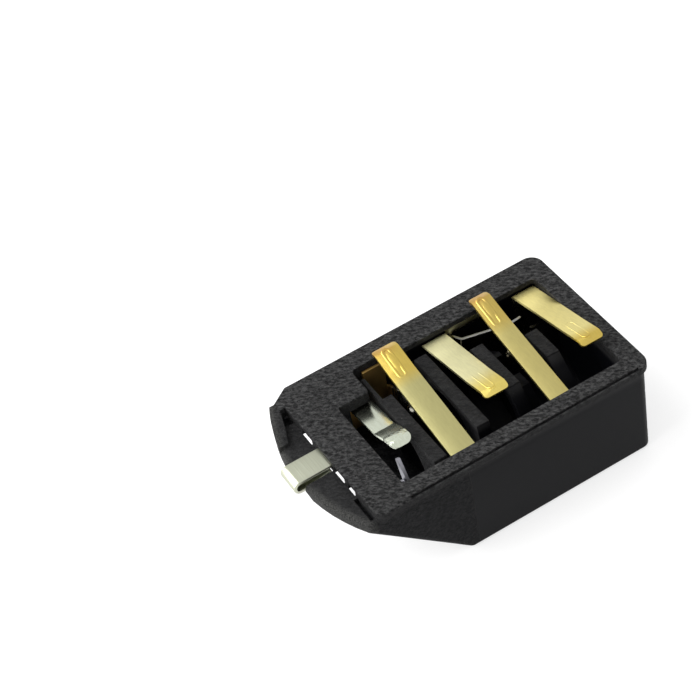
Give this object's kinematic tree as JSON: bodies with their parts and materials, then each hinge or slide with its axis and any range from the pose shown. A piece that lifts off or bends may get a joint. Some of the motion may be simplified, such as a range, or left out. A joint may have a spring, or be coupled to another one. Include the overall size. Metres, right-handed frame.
{
  "type": "headphone jack socket",
  "caption": "Headphone jack socket for a 3.5 mm plug: black moulding with a slanted mouth, spring contacts rising from its open side and a ground clip on its lip.",
  "frame": {"origin": "on the closed face, below the middle of the rim's length and below the bore axis", "axes": "+Z from the closed face to the open side, -X out of the plug mouth along the bore"},
  "size_m": [0.0134, 0.0076, 0.0052],
  "materials": {
    "black_plastic": "satin",
    "brass_strip": "satin",
    "nickel_strip": "satin"
  },
  "bodies": {
    "root": {"housing": "black_plastic", "ground_clip": "nickel_strip", "sleeve_contact": "brass_strip", "ring_2_contact": "nickel_strip", "ring_1_contact": "brass_strip", "tip_contact": "brass_strip", "detect_contact": "brass_strip"}
  },
  "joints": []
}
